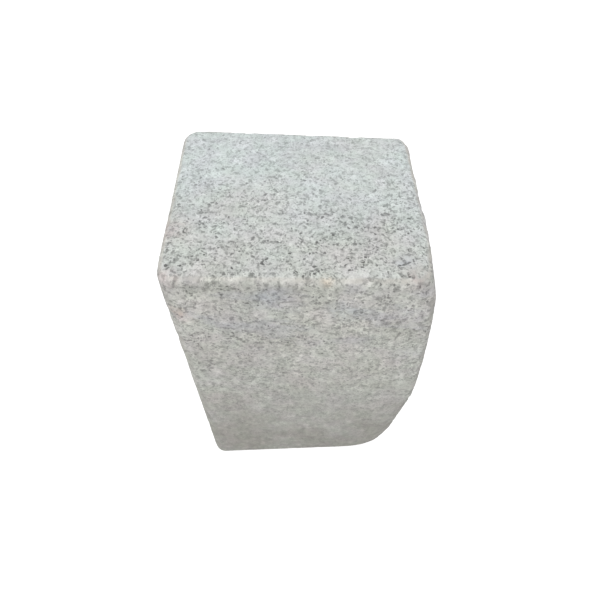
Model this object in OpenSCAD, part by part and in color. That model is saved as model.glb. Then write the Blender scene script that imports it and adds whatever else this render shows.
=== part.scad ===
// Granite kerb stone: one solid block that stands on its bed.
// The top, the front and the left side are dressed flat. The right side is split: from the top
// it swells out in a flat arc to a belly. Its front corner is worn round at the top, and knocked
// off below the belly.

/* [Block] */
// Overall width, from the left side to the belly of the split side
stone_width = 120; // [90:1:180]
// Overall length, from front to back
stone_length = 100; // [75:1:150]
// Overall height
stone_height = 200; // [150:1:300]

/* [Out of square] */
// How far the left front edge leans in at the top
left_lean = 4; // [0:0.5:8]
// How far the right end of the back comes forward
back_skew = 5; // [0:0.5:10]
// How far the front stands back at the bed
front_batter = 8; // [0:0.5:12]

/* [Split side] */
// How far the right edge of the top stands back from the belly
side_lean = 9.75; // [0:0.25:15]
// Height of the belly above the bed
belly_height = 100; // [80:1:120]
// Rounding of the front edge of the split side
split_edge_radius = 3; // [1:0.5:8]

/* [Edges] */
// Rounding of the worn edges round the top
arris_radius = 3; // [1:0.5:6]
// Rounding of the upright corner at the front left
front_corner_radius = 5.5; // [2:0.5:12]
// Rounding of the upright corners at the back
back_corner_radius = 8.5; // [2:0.5:16]
// Rounding of the edges round the foot
foot_radius = 7; // [3:0.5:14]
// How much of the rounded foot is dressed off to make the bed
bed_dressing = 1; // [0.5:0.25:2]

/* [Worn corner] */
// Reach of the wear along the front edge of the top
wear_width = 7; // [6:0.5:15]
// Reach of the wear along the split edge of the top
wear_depth = 26; // [10:1:40]
// Reach of the wear down the corner
wear_height = 14; // [8:1:25]

/* [Knocked-off corner] */
// Reach of the break across the front
break_width = 30; // [10:1:40]
// Reach of the break back along the side
break_depth = 10.5; // [8:0.5:30]
// Reach of the break up the corner
break_height = 34; // [10:1:60]

/* [Hidden] */

granite = [0.60, 0.62, 0.60];
corner_facets = 32;
swell_steps = 6;
swell_power = 1.5;
wear_steps = 6;
quarter_turn = 90;

left = -stone_width / 2;
right = stone_width / 2;
front = -stone_length / 2;
back = stone_length / 2;
back_right = back - back_skew;
foot = -bed_dressing;
top_right = right - side_lean;
wear_centre = [top_right - wear_width, front + wear_depth, stone_height - arris_radius];
worn_rise_share = 1 - wear_height / (stone_height - belly_height);
break_reach = [break_width, break_depth, break_height + bed_dressing];

// How far the front stands back at a height
function batter_at(height) = front_batter * (1 - height / stone_height);

// How far the split side stands back from the belly, part of the way from the belly to the top
function lean_at(rise_share) = side_lean * pow(rise_share, swell_power);

// Disc with a rounded rim, or a ball where the rim is as round as the disc
module pebble(radius, rim) {
    core = max(radius - rim, 0);
    rotate_extrude($fn = corner_facets)
        intersection() {
            translate([core, 0]) circle(rim, $fn = corner_facets);
            translate([0, -rim]) square([core + rim, 2 * rim]);
        }
}

// Worn corner that fills the point where three faces meet; out gives the way each face looks
module worn_corner(point, out, radius, rim) {
    reach = [max(radius, rim), max(radius, rim), rim];
    translate([for (i = [0:2]) point[i] - out[i] * reach[i]])
        pebble(radius, rim);
}

// Rounded break that takes off the point where three faces meet
module broken_corner(point, out, reach) {
    largest = max(reach);
    translate([for (i = [0:2]) point[i] - out[i] * reach[i]])
        scale(reach / largest)
            pebble(largest, largest);
}

// Worn corner of the top over the split side: its edge turns in an oval from the side to the front
module worn_turn() {
    for (step = [0:wear_steps]) {
        turn = quarter_turn * step / wear_steps;
        across = (wear_width - arris_radius) * cos(turn);
        along = (wear_depth - arris_radius) * sin(turn);
        translate(wear_centre + [across, -along, 0])
            pebble(arris_radius, arris_radius);
    }
}

module top_corners() {
    worn_corner([left + left_lean, front, stone_height], [-1, -1, 1], front_corner_radius, arris_radius);
    worn_turn();
    worn_corner([top_right, back_right, stone_height], [1, 1, 1], back_corner_radius, arris_radius);
    worn_corner([left, back, stone_height], [-1, 1, 1], back_corner_radius, arris_radius);
}

// Corners of the split side, from the belly up to the worn corner in the steps of an arc
module swell_corners() {
    for (step = [0:swell_steps - 1]) {
        rise_share = worn_rise_share * step / (swell_steps - 1);
        height = belly_height + rise_share * (stone_height - belly_height);
        side = right - lean_at(rise_share);
        face = front + batter_at(height);
        worn_corner([side, face, height], [1, -1, 0], split_edge_radius, split_edge_radius);
        worn_corner([side, back_right, height], [1, 1, 0], back_corner_radius, arris_radius);
    }
}

module foot_corners() {
    worn_corner([left, front + front_batter, foot], [-1, -1, -1], front_corner_radius, foot_radius);
    broken_corner([right, front + front_batter, foot], [1, -1, -1], break_reach);
    worn_corner([right, back_right, foot], [1, 1, -1], back_corner_radius, foot_radius);
    worn_corner([left, back, foot], [-1, 1, -1], back_corner_radius, foot_radius);
}

// Everything above the bed, with room round the stone
module above_bed() {
    translate([-stone_width, -stone_length, 0])
        cube([2 * stone_width, 2 * stone_length, 2 * stone_height]);
}

module kerb_stone() {
    color(granite)
        intersection() {
            hull() {
                top_corners();
                swell_corners();
                foot_corners();
            }
            above_bed();
        }
}

kerb_stone();
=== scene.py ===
import math

import bpy
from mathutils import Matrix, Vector


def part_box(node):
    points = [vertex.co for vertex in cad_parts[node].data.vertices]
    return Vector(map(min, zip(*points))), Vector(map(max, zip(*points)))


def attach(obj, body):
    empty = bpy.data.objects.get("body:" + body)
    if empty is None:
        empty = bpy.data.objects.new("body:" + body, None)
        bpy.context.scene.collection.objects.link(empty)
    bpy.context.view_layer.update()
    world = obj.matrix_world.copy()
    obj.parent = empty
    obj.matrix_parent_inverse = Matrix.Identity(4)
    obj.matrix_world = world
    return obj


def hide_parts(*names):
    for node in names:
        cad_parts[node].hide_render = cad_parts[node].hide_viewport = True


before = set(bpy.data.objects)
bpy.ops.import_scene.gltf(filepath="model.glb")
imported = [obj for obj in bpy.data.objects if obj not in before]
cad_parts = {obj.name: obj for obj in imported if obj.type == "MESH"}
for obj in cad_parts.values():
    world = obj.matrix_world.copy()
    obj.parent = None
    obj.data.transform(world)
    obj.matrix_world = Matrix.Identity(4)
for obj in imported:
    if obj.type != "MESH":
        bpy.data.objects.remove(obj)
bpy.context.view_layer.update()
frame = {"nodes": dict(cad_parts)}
print("frame loaded:", ", ".join(frame["nodes"]))


def smoothStep(low, high, value):
    t = min(max((value - low) / (high - low), 0.0), 1.0)
    return t * t * (3.0 - 2.0 * t)


# the block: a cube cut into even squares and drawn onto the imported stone

block = {
    "name": "granite_block",
    "node": "kerb_stone",
    "bands": 2,           # stacked halves, so the squares on the tall sides stay square
    "cuts": 89,           # cuts along each edge of a half
    "rub": 0.5,           # strength of one round of smoothing
    "settleRounds": 3,    # rounds that take out the facets of the worn corners
}


def makeBlock():
    low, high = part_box(block["node"])
    size = high - low
    bpy.ops.object.select_all(action="DESELECT")
    bpy.ops.mesh.primitive_cube_add(size=1, location=(low + high) / 2, scale=size)
    stone = bpy.context.object
    stone.name = stone.data.name = block["name"]
    bpy.ops.object.transform_apply(location=True, rotation=True, scale=True)

    bpy.ops.object.mode_set(mode="EDIT")
    for band in range(1, block["bands"]):
        bpy.ops.mesh.select_all(action="SELECT")
        cutHeight = low.z + size.z * band / block["bands"]
        bpy.ops.mesh.bisect(plane_co=(0, 0, cutHeight), plane_no=(0, 0, 1))
    bpy.ops.mesh.select_all(action="SELECT")
    bpy.ops.mesh.subdivide(number_cuts=block["cuts"])
    bpy.ops.object.mode_set(mode="OBJECT")

    wrap = stone.modifiers.new("drawOntoStone", "SHRINKWRAP")
    wrap.target = frame["nodes"][block["node"]]
    wrap.wrap_method = "NEAREST_SURFACEPOINT"
    bpy.ops.object.modifier_apply(modifier=wrap.name)
    return stone


def rubDown(stone, rounds, group=""):
    rub = stone.modifiers.new("rub", "SMOOTH")
    rub.factor = block["rub"]
    rub.iterations = rounds
    rub.vertex_group = group
    bpy.ops.object.modifier_apply(modifier=rub.name)


stone = makeBlock()
rubDown(stone, block["settleRounds"])
print("block drawn:", len(stone.data.polygons), "squares")


# how much each vertex belongs to the top, the sides, the worn edges and so on

faces = {
    "bedFade": (0.0015, 0.010),     # no relief on the bed, full relief from here up
    "flat": (0.80, 0.96),           # a face counts as top or side over this part of its normal
    "worn": (0.930, 0.990),         # an edge is worn where no part of the normal is larger
    "wearRounds": 8,                # smoothing rounds along the worn edges
    "splitFrom": (-0.046, -0.020),  # the split side is smooth along its front edge, rough from here back
    "corners": [(-0.056, -0.050, 0.200), (0.0565, -0.047, 0.186)],    # the two front corners of the top
    "cornerReach": (0.0039, 0.013),    # from full wear to none
    "cornerRounds": 36,             # smoothing rounds at those two
    "backCorner": (0.0475, 0.043),  # the back right corner is squarer, most of all at the top
    "backReach": (0.001, 0.008),    # from the full push to none
    "backHeights": (0.10, 0.19),    # from none to the full push
    "backPush": 0.0016,
    "painted": ("dressedTop", "arrises"),    # what the granite asks for
}


def faceShares(vert):
    n = vert.normal
    stand = smoothStep(*faces["bedFade"], vert.co.z)
    front, back = (smoothStep(*faces["flat"], part) for part in (-n.y, n.y))
    left, right = (smoothStep(*faces["flat"], part) for part in (-n.x, n.x))
    right *= smoothStep(*faces["splitFrom"], vert.co.y)
    away = min((vert.co - Vector(corner)).length for corner in faces["corners"])
    backAway = (vert.co.xy - Vector(faces["backCorner"])).length
    high = smoothStep(*faces["backHeights"], vert.co.z)
    largest = max(abs(n.x), abs(n.y), abs(n.z))
    return {
        "standing": stand,
        "dressedTop": smoothStep(*faces["flat"], n.z),
        "dressedSides": max(front, left) * stand,
        "splitSides": max(back, right) * stand,
        "arrises": (1.0 - smoothStep(*faces["worn"], largest)) * stand,
        "frontCorners": 1.0 - smoothStep(*faces["cornerReach"], away),
        "backCorner": (1.0 - smoothStep(*faces["backReach"], backAway)) * high,
    }


def storeValues(stone, name, values):
    stone.data.attributes.new(name, "FLOAT", "POINT").data.foreach_set("value", values)


def markFaces(stone):
    shares = [faceShares(v) for v in stone.data.vertices]
    for name in shares[0]:
        group = stone.vertex_groups.new(name=name)
        for index, values in enumerate(shares):
            if values[name] > 0:
                group.add([index], values[name], "REPLACE")
    for name in faces["painted"]:
        storeValues(stone, name + "Share", [values[name] for values in shares])


def squareUp(stone):
    push = stone.modifiers.new("squareUp", "DISPLACE")
    push.direction = "Y"
    push.vertex_group = "backCorner"
    push.strength = faces["backPush"]
    push.mid_level = 0.0
    bpy.ops.object.modifier_apply(modifier=push.name)


markFaces(stone)
rubDown(stone, faces["wearRounds"], "arrises")
rubDown(stone, faces["cornerRounds"], "frontCorners")
squareUp(stone)
print("faces marked:", ", ".join(g.name for g in stone.vertex_groups))


# relief, coarse to fine; grain and height in metres

relief = [
    {"name": "splitSwell", "group": "splitSides", "grain": 0.028, "depth": 1, "height": 0.0014},
    {"name": "splitHackle", "group": "splitSides", "grain": 0.0085, "depth": 2, "height": 0.0012},
    {"name": "dressedSwell", "group": "dressedSides", "grain": 0.040, "depth": 0, "height": 0.0006},
    {"name": "topSwell", "group": "dressedTop", "grain": 0.028, "depth": 0, "height": 0.0005},
    {"name": "topTooling", "group": "dressedTop", "grain": 0.0034, "depth": 1, "height": 0.0005},
    {"name": "arrisWear", "group": "arrises", "grain": 0.013, "depth": 1, "height": 0.0003},
    {"name": "arrisChips", "group": "arrises", "grain": 0.008, "depth": 1, "height": -0.0005,
     "ramp": (0.57, 0.72)},
    {"name": "grain", "group": "standing", "grain": 0.0020, "depth": 1, "height": 0.0003},
]
millimetres = 1000    # the height of the relief is kept for the granite in these


def pressLayer(stone, layer):
    texture = bpy.data.textures.new(layer["name"], "CLOUDS")
    texture.noise_scale = layer["grain"]
    texture.noise_depth = layer["depth"]
    push = stone.modifiers.new(layer["name"], "DISPLACE")
    push.texture = texture
    push.texture_coords = "LOCAL"
    push.vertex_group = layer["group"]
    push.strength = layer["height"]
    push.mid_level = 0.5
    if "ramp" in layer:    # only the peaks of the noise press in
        push.mid_level = 0.0
        texture.use_color_ramp = True
        start, end = texture.color_ramp.elements
        start.position, end.position = layer["ramp"]
        start.color, end.color = (0, 0, 0, 1), (1, 1, 1, 1)
    bpy.ops.object.modifier_apply(modifier=push.name)


def pressRelief(stone):
    before = [v.co.copy() for v in stone.data.vertices]
    normals = [v.normal.copy() for v in stone.data.vertices]
    for layer in relief:
        pressLayer(stone, layer)
    bpy.ops.object.shade_smooth()
    after = [v.co for v in stone.data.vertices]
    rise = [(a - b).dot(n) * millimetres for a, b, n in zip(after, before, normals)]
    storeValues(stone, "reliefHeight", rise)


pressRelief(stone)
print("relief pressed:", len(relief), "layers")


# small helpers for material nodes

def addNode(tree, kind, inputs=None, **settings):
    made = tree.nodes.new(kind)
    for key, value in settings.items():
        setattr(made, key, value)
    for socket, value in (inputs or {}).items():
        if isinstance(value, bpy.types.NodeSocket):
            tree.links.new(value, made.inputs[socket])
        else:
            made.inputs[socket].default_value = value
    return made


def mixColour(tree, factor, a, b, blend="MIX"):
    made = addNode(tree, "ShaderNodeMix", {0: factor, 6: a, 7: b}, data_type="RGBA", blend_type=blend)
    return made.outputs[2]


def toned(tree, colour, tone):
    return mixColour(tree, 1.0, colour, tone, "MULTIPLY")


def mixValue(tree, factor, a, b):
    return addNode(tree, "ShaderNodeMix", {0: factor, 2: a, 3: b}).outputs[0]


def ramp(tree, value, low, high, outLow=0.0, outHigh=1.0):
    made = addNode(
        tree, "ShaderNodeMapRange",
        {"Value": value, "From Min": low, "From Max": high, "To Min": outLow, "To Max": outHigh},
        interpolation_type="SMOOTHSTEP")
    return made.outputs[0]


def calc(tree, operation, a, b=0.0):
    return addNode(tree, "ShaderNodeMath", {0: a, 1: b}, operation=operation).outputs[0]


def times(tree, *values):
    product = values[0]
    for value in values[1:]:
        product = calc(tree, "MULTIPLY", product, value)
    return product


def move(tree, operation, a, b):
    key = "Scale" if operation == "SCALE" else 1
    return addNode(tree, "ShaderNodeVectorMath", {0: a, key: b}, operation=operation).outputs[0]


def distance(tree, a, b):
    return addNode(tree, "ShaderNodeVectorMath", {0: a, 1: b}, operation="DISTANCE").outputs["Value"]


def stretched(tree, place, scale):
    return addNode(tree, "ShaderNodeMapping", {0: place, "Scale": scale}).outputs[0]


def split(tree, place):
    return addNode(tree, "ShaderNodeSeparateXYZ", {0: place}).outputs


def addNoise(tree, place, waves, detail=2.0):
    return addNode(tree, "ShaderNodeTexNoise", {"Vector": place, "Scale": waves, "Detail": detail})


def noise(tree, place, waves, detail=2.0):
    return addNoise(tree, place, waves, detail).outputs[0]


# noise of one size, with the middle part of its range spread over the two values
def patches(tree, place, setting):
    made = noise(tree, place, setting["waves"], setting.get("detail", 2.0))
    return ramp(tree, made, *setting["span"], *setting.get("values", (0.0, 1.0)))


# distance to the middle of the nearest cell, and that cell's three random numbers
def cells(tree, place, scale):
    cell = addNode(tree, "ShaderNodeTexVoronoi", {"Vector": place, "Scale": scale})
    picks = addNode(tree, "ShaderNodeSeparateColor", {0: cell.outputs["Color"]})
    return cell.outputs["Distance"], picks.outputs


def share(tree, name):
    return addNode(tree, "ShaderNodeAttribute", attribute_name=name).outputs["Fac"]


def wobble(tree, place, waves, reach):
    shift = move(tree, "SUBTRACT", addNoise(tree, place, waves).outputs["Color"], (0.5, 0.5, 0.5))
    return move(tree, "ADD", place, move(tree, "SCALE", shift, reach))


# ground of the granite; colours are linear, waves and cells are per metre, heights in metres

ground = {
    # painted light: the cool colour, lighter and bluer as under sky light, goes on the top, the warm one
    # on the sides
    "cool": (0.688, 0.741, 0.736, 1),
    "warm": (0.650, 0.638, 0.594, 1),
    "warmthAndPaintedLight": (0.85, 0.10),            # on the sides, on the top; painted light, warm as under bounce light, cool as under sky light
    "drift": {"waves": 38, "span": (0.3, 0.7), "values": (-0.15, 0.15)},
    "driftShares": (0.6, 1.2),         # on the sides, on the top
    "paintedLightReach": (-0.05, 0.03),       # painted light: the top is painted warmer and darker at its front edge, to here
    "frontPaintedWarmth": 0.45,
    "frontShade": 0.945,
    "tintPatches": {"waves": 95, "detail": 3.0, "span": (0.3, 0.7)},
    "tints": ((0.986, 1.012, 0.986, 1), (1.014, 0.988, 1.014, 1)),    # faint green to lilac
    "waveSpan": (0.25, 0.75),
    "waveDetail": 1.0,
    "tones": [(1500, 0.10), (105, 0.03)],    # waves, and how far they lighten and darken
    "runs": [(360, 0.075), (150, 0.060)],    # the same for the upright runs on the sides
    "runStretch": (1.0, 1.0, 0.45),
}

# crystals in the ground: which cells, how much in the fullest of them, and their tone
crystals = {
    "scale": 300,
    "feldspar": {"picked": (0.60, 1.0), "most": 0.45, "tone": 1.20},
    "quartz": {"picked": (0.55, 1.0), "most": 0.60, "tone": 0.84},
}


def waveTone(tree, place, waves, swing):
    made = noise(tree, place, waves, ground["waveDetail"])
    return ramp(tree, made, *ground["waveSpan"], 1.0 - swing, 1.0 + swing)


def crystalTone(tree, pick, kind):
    full = ramp(tree, pick, *kind["picked"], 0.0, kind["most"])
    return mixValue(tree, full, 1.0, kind["tone"])


def groundColour(tree, spot):
    place, top = spot["place"], spot["top"]
    driftShare = mixValue(tree, top, *ground["driftShares"])
    drift = times(tree, patches(tree, place, ground["drift"]), driftShare)
    # painted light and shade: the front edge of the top is made warmer and darker
    paintedLightNearFront = times(tree, top, ramp(tree, spot["depthwise"], *ground["paintedLightReach"], 1.0, 0.0))
    # painted light: cool on the top, warm on the sides and at the front edge of the top, with random
    # drift
    warmthAndPaintedLight = calc(tree, "ADD", ramp(tree, top, 0, 1, *ground["warmthAndPaintedLight"]), drift)
    warmthAndPaintedLight = calc(tree, "ADD", warmthAndPaintedLight, times(tree, paintedLightNearFront, ground["frontPaintedWarmth"]))
    colour = mixColour(tree, warmthAndPaintedLight, ground["cool"], ground["warm"])
    tint = mixColour(tree, patches(tree, place, ground["tintPatches"]), *ground["tints"])
    colour = toned(tree, colour, tint)

    upright = stretched(tree, place, ground["runStretch"])
    runs = times(tree, *(waveTone(tree, upright, *run) for run in ground["runs"]))
    tones = times(tree, *(waveTone(tree, place, *tone) for tone in ground["tones"]))
    shade = times(
        tree, tones, mixValue(tree, top, runs, 1.0),
        mixValue(tree, paintedLightNearFront, 1.0, ground["frontShade"]),
        crystalTone(tree, spot["crystal"][0], crystals["feldspar"]),
        crystalTone(tree, spot["crystal"][1], crystals["quartz"]))
    return toned(tree, colour, shade)


# violet-grey clouds under the top edge of the sides

clouds = {
    "colour": (0.470, 0.470, 0.530, 1),
    "share": 0.38,
    "patches": {"waves": 42, "detail": 3.0, "span": (0.50, 0.66)},
    "stretch": (1.0, 1.0, 2.2),
    "heights": (0.135, 0.175),     # none below, all of them above
}


def addClouds(tree, spot, colour):
    cloud = patches(tree, stretched(tree, spot["place"], clouds["stretch"]), clouds["patches"])
    onSides = ramp(tree, spot["top"], 0, 1, clouds["share"], 0.0)
    cloud = times(tree, cloud, ramp(tree, spot["height"], *clouds["heights"]), onSides)
    return mixColour(tree, cloud, colour, clouds["colour"])


# worn edges are bruised, the low ones less; the top has a pale lip of painted highlight, with painted
# shade just under it

bruises = {
    "colour": (0.515, 0.500, 0.460, 1),
    "patches": {"waves": 170, "detail": 3.0, "span": (0.35, 0.65), "values": (0.10, 0.65)},
    "heights": (0.10, 0.17),
    "heightShares": (0.35, 1.0),
}

lipHighlightAndShade = {
    "heights": (0.1976, 0.1988),         # the lip ends over these
    "underShadeHeights": (0.1900, 0.1950),    # the painted shade under it, from none to full
    "across": (-0.030, 0.010),           # from the left part to the rest
    "tones": (1.09, 1.055),              # of the painted highlight on the lip on the left, and on the rest
    "underShadeTones": (0.86, 0.945),         # of the painted shade
}


def bruiseShare(tree, spot):
    clean = calc(tree, "SUBTRACT", 1.0, spot["shadeUnderLip"])
    high = ramp(tree, spot["height"], *bruises["heights"], *bruises["heightShares"])
    return times(tree, spot["worn"], patches(tree, spot["place"], bruises["patches"]), clean, high)


def addLipHighlightAndShade(tree, spot, colour):
    # painted highlight on the lip of the top, painted shade just under it
    onLipHighlight = times(tree, spot["worn"], spot["aboveLipHighlight"])
    lipHighlightTone = ramp(tree, spot["across"], *lipHighlightAndShade["across"], *lipHighlightAndShade["tones"])
    underLipShadeTone = ramp(tree, spot["across"], *lipHighlightAndShade["across"], *lipHighlightAndShade["underShadeTones"])
    colour = toned(tree, colour, mixValue(tree, onLipHighlight, 1.0, lipHighlightTone))
    return toned(tree, colour, mixValue(tree, spot["shadeUnderLip"], 1.0, underLipShadeTone))


# stains, each faint and broken up by patches

pink = (0.64, 0.52, 0.51, 1)
rust = (0.67, 0.53, 0.39, 1)
blue = (0.50, 0.55, 0.62, 1)
lilac = (0.52, 0.49, 0.55, 1)

stains = [
    {"tone": pink, "place": (-0.0510, -0.0490, 0.1995), "reach": 0.0070, "share": 0.45},
    {"tone": rust, "place": (0.0085, -0.0495, 0.1985), "reach": 0.0040, "share": 0.40},
    {"tone": pink, "place": (0.0415, -0.0470, 0.2000), "reach": 0.0085, "share": 0.38},
    {"tone": pink, "place": (-0.0535, -0.0230, 0.2000), "reach": 0.0110, "share": 0.40},
    {"tone": rust, "place": (-0.0515, -0.0490, 0.1785), "reach": 0.0060, "share": 0.40},
    {"tone": pink, "place": (-0.0490, -0.0490, 0.1745), "reach": 0.0075, "share": 0.30},
    {"tone": blue, "place": (0.0165, -0.0495, 0.1805), "reach": 0.0120, "share": 0.34},
    {"tone": blue, "place": (-0.0130, -0.0495, 0.1900), "reach": 0.0090, "share": 0.25},
    {"tone": blue, "place": (0.0380, -0.0400, 0.2000), "reach": 0.0060, "share": 0.36},
    {"tone": lilac, "place": (0.0440, -0.0490, 0.1765), "reach": 0.0100, "share": 0.34},
    {"tone": lilac, "place": (0.0470, -0.0480, 0.1460), "reach": 0.0120, "share": 0.30},
    {"tone": lilac, "place": (-0.0285, -0.0490, 0.1695), "reach": 0.0110, "share": 0.30},
]
stainCore = 0.15    # part of the reach that has the full share
stainPatches = {"waves": 330, "span": (0.35, 0.65), "values": (0.35, 1.0)}


def addStains(tree, spot, colour):
    broken = patches(tree, spot["place"], stainPatches)
    for stain in stains:
        away = distance(tree, spot["ragged"], stain["place"])
        spread = ramp(tree, away, stainCore * stain["reach"], stain["reach"], stain["share"], 0.0)
        colour = mixColour(tree, times(tree, spread, broken), colour, stain["tone"])
    return colour


# dark and pale specks in clusters, fading down the sides and to the back of the top

flecks = [
    {"scale": 560, "few": 0.92, "many": 0.79, "core": (0.28, 0.58), "depth": 0.80},
    {"scale": 770, "few": 0.86, "many": 0.66, "core": (0.40, 0.66), "depth": 0.85},
    {"scale": 1300, "few": 0.80, "many": 0.63, "core": (0.45, 0.75), "depth": 0.60},
]
fleckClusters = (0.32, 0.68)    # part of the cluster noise from few flecks to many
fleckOnset = 9.0                # how soon a picked cell turns fully dark
fleckTones = (0.35, 1.0)        # share of the depth in the palest and the darkest fleck

pepper = {
    "clusterWaves": 120,
    "clusters": (0.30, 0.64),
    "clusterShares": (0.48, 1.00),
    "waves": 480,
    "detail": 3.0,
    "dark": (0.53, 0.66),          # part of the noise that is dark
    "depth": 0.67,
    "mica": 0.13,                  # tone of the darkest specks
    "pale": (0.47, 0.32),          # part of the noise that is pale
    "lift": 0.60,
    "topDepths": (-0.045, 0.045),
    "onTop": (1.05, 0.60),         # how strong at the front and at the back of the top
    "sideHeights": (0.015, 0.185),
    "atFoot": (0.65, 0.20),        # how strong at the foot of the other sides, and of the front
    "atArris": 0.84,               # how strong at the top of the sides
    "bruised": (0.0, 0.75),
    "bruisedShares": (1.0, 0.40),  # how strong where the edge is whole, and where it is bruised
}


def fleckLayer(tree, place, layer, cluster):
    away, pick = cells(tree, place, layer["scale"])
    start = ramp(tree, cluster, *fleckClusters, layer["few"], layer["many"])
    chosen = times(tree, calc(tree, "SUBTRACT", pick[0], start), fleckOnset)
    chosen = addNode(tree, "ShaderNodeClamp", {0: chosen}).outputs[0]
    core = ramp(tree, away, *layer["core"], 1.0, 0.0)
    return times(tree, chosen, core, ramp(tree, pick[1], 0.0, 1.0, *fleckTones), layer["depth"])


def speckAmount(tree, spot):
    onFoot = mixValue(tree, spot["front"], *pepper["atFoot"])
    onSides = ramp(tree, spot["height"], *pepper["sideHeights"], onFoot, pepper["atArris"])
    onTop = ramp(tree, spot["depthwise"], *pepper["topDepths"], *pepper["onTop"])
    return mixValue(tree, spot["top"], onSides, onTop)


def addSpecks(tree, spot, colour, bruise):
    cluster = noise(tree, spot["place"], pepper["clusterWaves"], pepper["detail"])
    grit = noise(tree, spot["ragged"], pepper["waves"], pepper["detail"])
    dark = ramp(tree, grit, *pepper["dark"], 0.0, pepper["depth"])
    dark = times(tree, dark, ramp(tree, cluster, *pepper["clusters"], *pepper["clusterShares"]))
    for layer in flecks:
        dark = calc(tree, "MAXIMUM", dark, fleckLayer(tree, spot["ragged"], layer, cluster))
    amount = speckAmount(tree, spot)
    whole = ramp(tree, bruise, *pepper["bruised"], *pepper["bruisedShares"])
    dark = times(tree, dark, amount, whole)
    pale = times(tree, ramp(tree, grit, *pepper["pale"], 0.0, pepper["lift"]), amount)
    colour = toned(tree, colour, mixValue(tree, pale, 1.0, crystals["feldspar"]["tone"]))
    return toned(tree, colour, mixValue(tree, dark, 1.0, pepper["mica"])), dark


# dust and painted shade at the foot, darker towards the bottom; painted shade in the hollows

dustAndShade = {
    "tone": (0.622, 0.613, 0.598, 1),
    "heights": (0.010, 0.175),     # full dust and painted shade below, none above
    "shares": (0.60, 1.0),         # on the other sides, on the front
    "patches": {"waves": 38, "span": (0.3, 0.7), "values": (0.8, 1.0)},
    "shadedHollows": (-0.45, 0.10),      # painted shade in the hollows, over this height of the relief in millimetres
    "hollowShadeTones": (0.88, 1.0),
}


def addDustAndShade(tree, spot, colour):
    # dust and painted shade, darker towards the bottom, most on the front
    amount = times(
        tree, ramp(tree, spot["height"], *dustAndShade["heights"], 1.0, 0.0),
        mixValue(tree, spot["front"], *dustAndShade["shares"]),
        patches(tree, spot["place"], dustAndShade["patches"]))
    colour = mixColour(tree, amount, colour, toned(tree, colour, dustAndShade["tone"]))
    # painted shade in the hollows of the relief
    hollowShade = ramp(tree, share(tree, "reliefHeight"), *dustAndShade["shadedHollows"], *dustAndShade["hollowShadeTones"])
    return toned(tree, colour, hollowShade)


# the granite, all together

granite = {
    "name": "granite",
    "wobbles": [(260, 0.0022), (760, 0.0017)],    # waves and reach that break up cells and edges
    "frontFade": (-0.040, 0.005),                 # from the front to the other sides
    "rough": {"waves": 500, "span": (0.3, 0.7), "values": (0.78, 0.95)},
    "micaShine": 0.25,                            # how much smoother the darkest specks are
    "specular": 0.3,
    "fineWaves": 1100,
    "fineDetail": 3.0,
    "crystalRise": 0.3,
    "bumpStrength": 0.4,
    "bumpDepth": 0.0003,
}


# where a point lies on the stone, in the terms that the layers ask for
def findSpot(tree):
    place = addNode(tree, "ShaderNodeTexCoord").outputs["Object"]
    axes = split(tree, place)
    ragged = place
    for waves, reach in granite["wobbles"]:
        ragged = wobble(tree, ragged, waves, reach)
    raggedHeight = split(tree, ragged)["Z"]
    # height bands of the painted highlight on the lip and of the painted shade under it
    aboveLipHighlight = ramp(tree, raggedHeight, *lipHighlightAndShade["heights"])
    belowLipShade = ramp(tree, raggedHeight, *lipHighlightAndShade["heights"], 1.0, 0.0)
    return {
        "place": place,
        "ragged": ragged,
        "across": axes["X"],
        "depthwise": axes["Y"],
        "height": axes["Z"],
        "aboveLipHighlight": aboveLipHighlight,
        "shadeUnderLip": times(tree, belowLipShade, ramp(tree, raggedHeight, *lipHighlightAndShade["underShadeHeights"])),
        "top": share(tree, "dressedTopShare"),
        "front": ramp(tree, axes["Y"], *granite["frontFade"], 1.0, 0.0),
        "worn": share(tree, "arrisesShare"),
        "crystal": cells(tree, ragged, crystals["scale"])[1],
    }


def makeGranite():
    material = bpy.data.materials.new(granite["name"])
    material.use_nodes = True
    tree = material.node_tree
    shader = tree.nodes["Principled BSDF"]
    spot = findSpot(tree)

    bruise = bruiseShare(tree, spot)
    colour = addClouds(tree, spot, groundColour(tree, spot))
    colour = mixColour(tree, bruise, colour, bruises["colour"])
    colour = addStains(tree, spot, addLipHighlightAndShade(tree, spot, colour))
    colour, dark = addSpecks(tree, spot, colour, bruise)
    tree.links.new(addDustAndShade(tree, spot, colour), shader.inputs["Base Color"])

    rough = patches(tree, spot["place"], granite["rough"])
    rough = calc(tree, "SUBTRACT", rough, times(tree, dark, granite["micaShine"]))
    tree.links.new(rough, shader.inputs["Roughness"])
    shader.inputs["Specular IOR Level"].default_value = granite["specular"]

    fine = noise(tree, spot["place"], granite["fineWaves"], granite["fineDetail"])
    fine = calc(tree, "ADD", fine, times(tree, spot["crystal"][0], granite["crystalRise"]))
    bump = addNode(tree, "ShaderNodeBump", {
        "Strength": granite["bumpStrength"], "Distance": granite["bumpDepth"], "Height": fine})
    tree.links.new(bump.outputs[0], shader.inputs["Normal"])
    return material


stone.data.materials.append(makeGranite())
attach(stone, "root")
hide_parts(block["node"])
print("granite set")


# floor, light and camera

studio = {
    "floorSize": 8.0,
    "floorColour": (0.62, 0.62, 0.62, 1),
    "floorGlow": 0.70,         # lifts the floor to white for the eye, lights nothing
    "skyStrength": 0.50,
    "lampAim": (0.0, 0.0, 0.12),
}

lamps = [
    {"name": "keyLamp", "place": (-0.25, -0.75, 1.14), "size": 1.2, "power": 10.0},
    {"name": "fillLamp", "place": (0.45, 1.00, 0.35), "size": 1.2, "power": 4.5},
]


# 1 where the camera, a reflection or a pane looks straight at the surface
def seenDirectly(tree):
    path = addNode(tree, "ShaderNodeLightPath").outputs
    seen = calc(tree, "MAXIMUM", path["Is Camera Ray"], path["Is Glossy Ray"])
    return calc(tree, "MAXIMUM", seen, path["Is Transmission Ray"])


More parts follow.
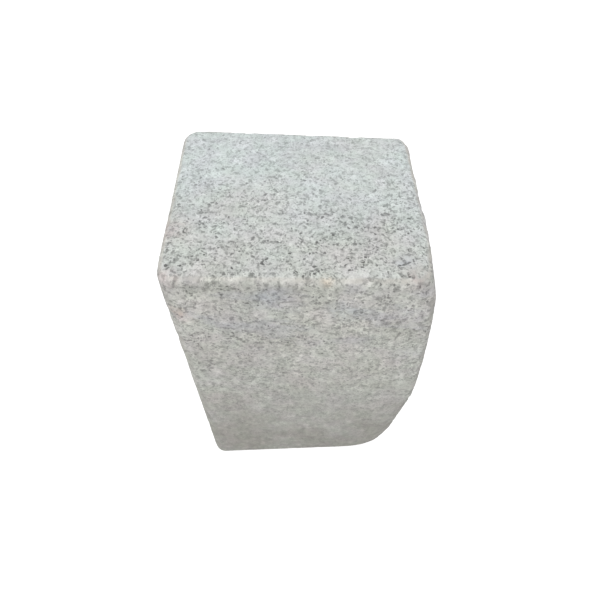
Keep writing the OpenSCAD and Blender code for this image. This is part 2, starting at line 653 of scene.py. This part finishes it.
def makeFloor():
    bpy.ops.object.select_all(action="DESELECT")
    bpy.ops.mesh.primitive_plane_add(size=studio["floorSize"])
    floor = bpy.context.object
    floor.name = "floor"
    material = bpy.data.materials.new("paleFloor")
    material.use_nodes = True
    tree = material.node_tree
    shader = tree.nodes["Principled BSDF"]
    shader.inputs["Base Color"].default_value = studio["floorColour"]
    shader.inputs["Roughness"].default_value = 1.0
    shader.inputs["Specular IOR Level"].default_value = 0.0
    strength = times(tree, seenDirectly(tree), studio["floorGlow"])
    glow = addNode(tree, "ShaderNodeEmission", {"Color": (1, 1, 1, 1), "Strength": strength})
    both = addNode(tree, "ShaderNodeAddShader", {0: shader.outputs[0], 1: glow.outputs[0]})
    tree.links.new(both.outputs[0], tree.nodes["Material Output"].inputs["Surface"])
    floor.data.materials.append(material)


def makeSky():
    world = bpy.data.worlds.new("studio")
    bpy.context.scene.world = world
    world.use_nodes = True
    tree = world.node_tree
    sky = tree.nodes["Background"]
    sky.inputs["Color"].default_value = (1, 1, 1, 1)
    strength = ramp(tree, seenDirectly(tree), 0, 1, studio["skyStrength"], 1.0)
    tree.links.new(strength, sky.inputs["Strength"])


def makeLamp(setting):
    bpy.ops.object.light_add(type="AREA", location=setting["place"])
    lamp = bpy.context.object
    lamp.name = setting["name"]
    lamp.data.size = setting["size"]
    lamp.data.energy = setting["power"]
    aim = Vector(studio["lampAim"]) - lamp.location
    lamp.rotation_euler = aim.to_track_quat("-Z", "Y").to_euler()
    lamp.visible_camera = False


lens = {
    "place": (-0.00158, -0.15987, 0.32794),
    "turn": (38.864, -0.004, 0.941),   # degrees
    "length": 28.108,                  # millimetres, as is the sensor
    "sensor": 36,
    "nearest": 0.01,
}


def makeCamera():
    bpy.ops.object.camera_add(location=lens["place"], rotation=[math.radians(a) for a in lens["turn"]])
    camera = bpy.context.object
    camera.name = "camera"
    camera.data.sensor_width = lens["sensor"]
    camera.data.lens = lens["length"]
    camera.data.clip_start = lens["nearest"]
    camera.data.dof.use_dof = False
    bpy.context.scene.camera = camera


makeFloor()
makeSky()
for setting in lamps:
    makeLamp(setting)
makeCamera()
bpy.context.scene.view_settings.view_transform = "Standard"
print("studio set")
